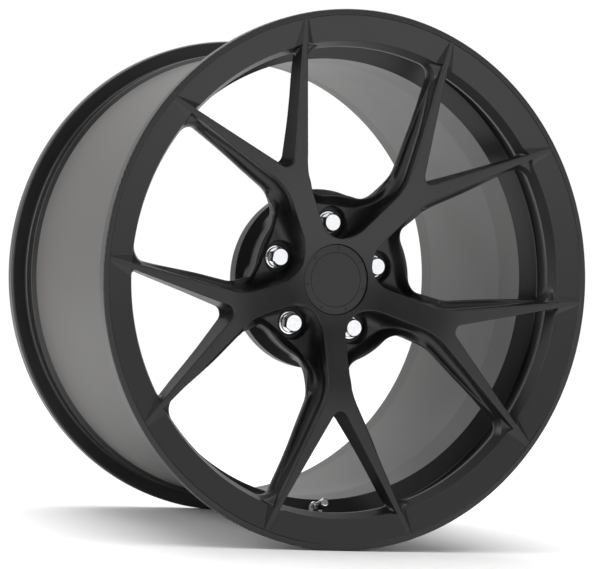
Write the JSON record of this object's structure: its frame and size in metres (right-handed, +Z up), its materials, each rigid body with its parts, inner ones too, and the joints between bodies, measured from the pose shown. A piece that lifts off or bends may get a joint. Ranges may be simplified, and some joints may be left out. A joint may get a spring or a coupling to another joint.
{
  "type": "forged car wheel",
  "caption": "Five-spoke split-arm forged wheel with a deep barrel, lug bolts, centre cap and tyre valve, for a track or road car.",
  "frame": {"origin": "on the wheel's axis, half way through its overall width", "axes": "+Y along the axis to the inboard (car) side, -Y the street side, +Z up with the valve at the bottom"},
  "size_m": [0.5474, 0.3202, 0.5474],
  "materials": {
    "wheel_black": "satin",
    "barrel_grey": "satin",
    "cap_black": "satin",
    "lug_chrome": "polished",
    "valve_metal": "polished",
    "valve_brass": "satin",
    "seal_rubber": "matte",
    "spring_steel": "satin",
    "sensor_plastic": "matte"
  },
  "bodies": {
    "wheel": {"forged_centre": "wheel_black", "rim_barrel": "barrel_grey", "weld_seam": "barrel_grey", "valve_stem": "valve_metal", "valve_grommet": "seal_rubber", "valve_washer": "valve_metal", "valve_nut": "valve_metal", "valve_core": "valve_brass", "valve_spring": "spring_steel", "sensor_housing": "sensor_plastic", "sensor_screw": "spring_steel"},
    "centre_cap": {"cap_shell": "cap_black", "cap_badge": "cap_black", "cap_seal_ring": "seal_rubber", "cap_spring_ring": "spring_steel"},
    "valve_pin": {"valve_pin": "valve_brass"},
    "valve_cap_disc": {"cap_disc": "seal_rubber"},
    "valve_cap": {"valve_cap": "valve_metal"},
    "lug_ring_1": {"lug_ring_1": "lug_chrome"},
    "lug_bolt_1": {"lug_bolt_1": "lug_chrome"},
    "lug_ring_2": {"lug_ring_2": "lug_chrome"},
    "lug_bolt_2": {"lug_bolt_2": "lug_chrome"},
    "lug_ring_3": {"lug_ring_3": "lug_chrome"},
    "lug_bolt_3": {"lug_bolt_3": "lug_chrome"},
    "lug_ring_4": {"lug_ring_4": "lug_chrome"},
    "lug_bolt_4": {"lug_bolt_4": "lug_chrome"},
    "lug_ring_5": {"lug_ring_5": "lug_chrome"},
    "lug_bolt_5": {"lug_bolt_5": "lug_chrome"}
  },
  "joints": [
    {"name": "cap_pull", "type": "slide", "parent": "wheel", "child": "centre_cap", "axis": [0, -1, 0], "range_m": [0, 0.03]},
    {"name": "valve_pin_press", "type": "slide", "parent": "wheel", "child": "valve_pin", "axis": [0, 0.8984, -0.4392], "range_m": [0, 0.001], "stiffness_N_per_m": 500, "springref_m": -0.002},
    {"name": "valve_cap_lift", "type": "slide", "parent": "wheel", "child": "valve_cap_disc", "axis": [0, -0.8984, 0.4392], "range_m": [0, 0.01262]},
    {"name": "valve_cap_turn", "type": "hinge", "parent": "valve_cap_disc", "child": "valve_cap", "pos_m": [0, -0.10035, -0.2394], "axis": [0, -0.8984, 0.4392], "range_deg": [0, 5760]},
    {"name": "lug_back_off_1", "type": "slide", "parent": "wheel", "child": "lug_ring_1", "axis": [0, -1, 0], "range_m": [0, 0.027]},
    {"name": "lug_turn_1", "type": "hinge", "parent": "lug_ring_1", "child": "lug_bolt_1", "pos_m": [0, -0.07695, 0.06], "axis": [0, -1, 0], "range_deg": [0, 6490]},
    {"name": "lug_back_off_2", "type": "slide", "parent": "wheel", "child": "lug_ring_2", "axis": [0, -1, 0], "range_m": [0, 0.027]},
    {"name": "lug_turn_2", "type": "hinge", "parent": "lug_ring_2", "child": "lug_bolt_2", "pos_m": [0.05706, -0.07695, 0.01854], "axis": [0, -1, 0], "range_deg": [0, 6490]},
    {"name": "lug_back_off_3", "type": "slide", "parent": "wheel", "child": "lug_ring_3", "axis": [0, -1, 0], "range_m": [0, 0.027]},
    {"name": "lug_turn_3", "type": "hinge", "parent": "lug_ring_3", "child": "lug_bolt_3", "pos_m": [0.03527, -0.07695, -0.04854], "axis": [0, -1, 0], "range_deg": [0, 6490]},
    {"name": "lug_back_off_4", "type": "slide", "parent": "wheel", "child": "lug_ring_4", "axis": [0, -1, 0], "range_m": [0, 0.027]},
    {"name": "lug_turn_4", "type": "hinge", "parent": "lug_ring_4", "child": "lug_bolt_4", "pos_m": [-0.03527, -0.07695, -0.04854], "axis": [0, -1, 0], "range_deg": [0, 6490]},
    {"name": "lug_back_off_5", "type": "slide", "parent": "wheel", "child": "lug_ring_5", "axis": [0, -1, 0], "range_m": [0, 0.027]},
    {"name": "lug_turn_5", "type": "hinge", "parent": "lug_ring_5", "child": "lug_bolt_5", "pos_m": [-0.05706, -0.07695, 0.01854], "axis": [0, -1, 0], "range_deg": [0, 6490]}
  ],
  "couplings": [
    {"joint": "valve_cap_turn", "follows": "valve_cap_lift", "rad_per_m": 7915.8},
    {"joint": "lug_turn_1", "follows": "lug_back_off_1", "rad_per_m": 4188.8},
    {"joint": "lug_turn_2", "follows": "lug_back_off_2", "rad_per_m": 4188.8},
    {"joint": "lug_turn_3", "follows": "lug_back_off_3", "rad_per_m": 4188.8},
    {"joint": "lug_turn_4", "follows": "lug_back_off_4", "rad_per_m": 4188.8},
    {"joint": "lug_turn_5", "follows": "lug_back_off_5", "rad_per_m": 4188.8}
  ]
}
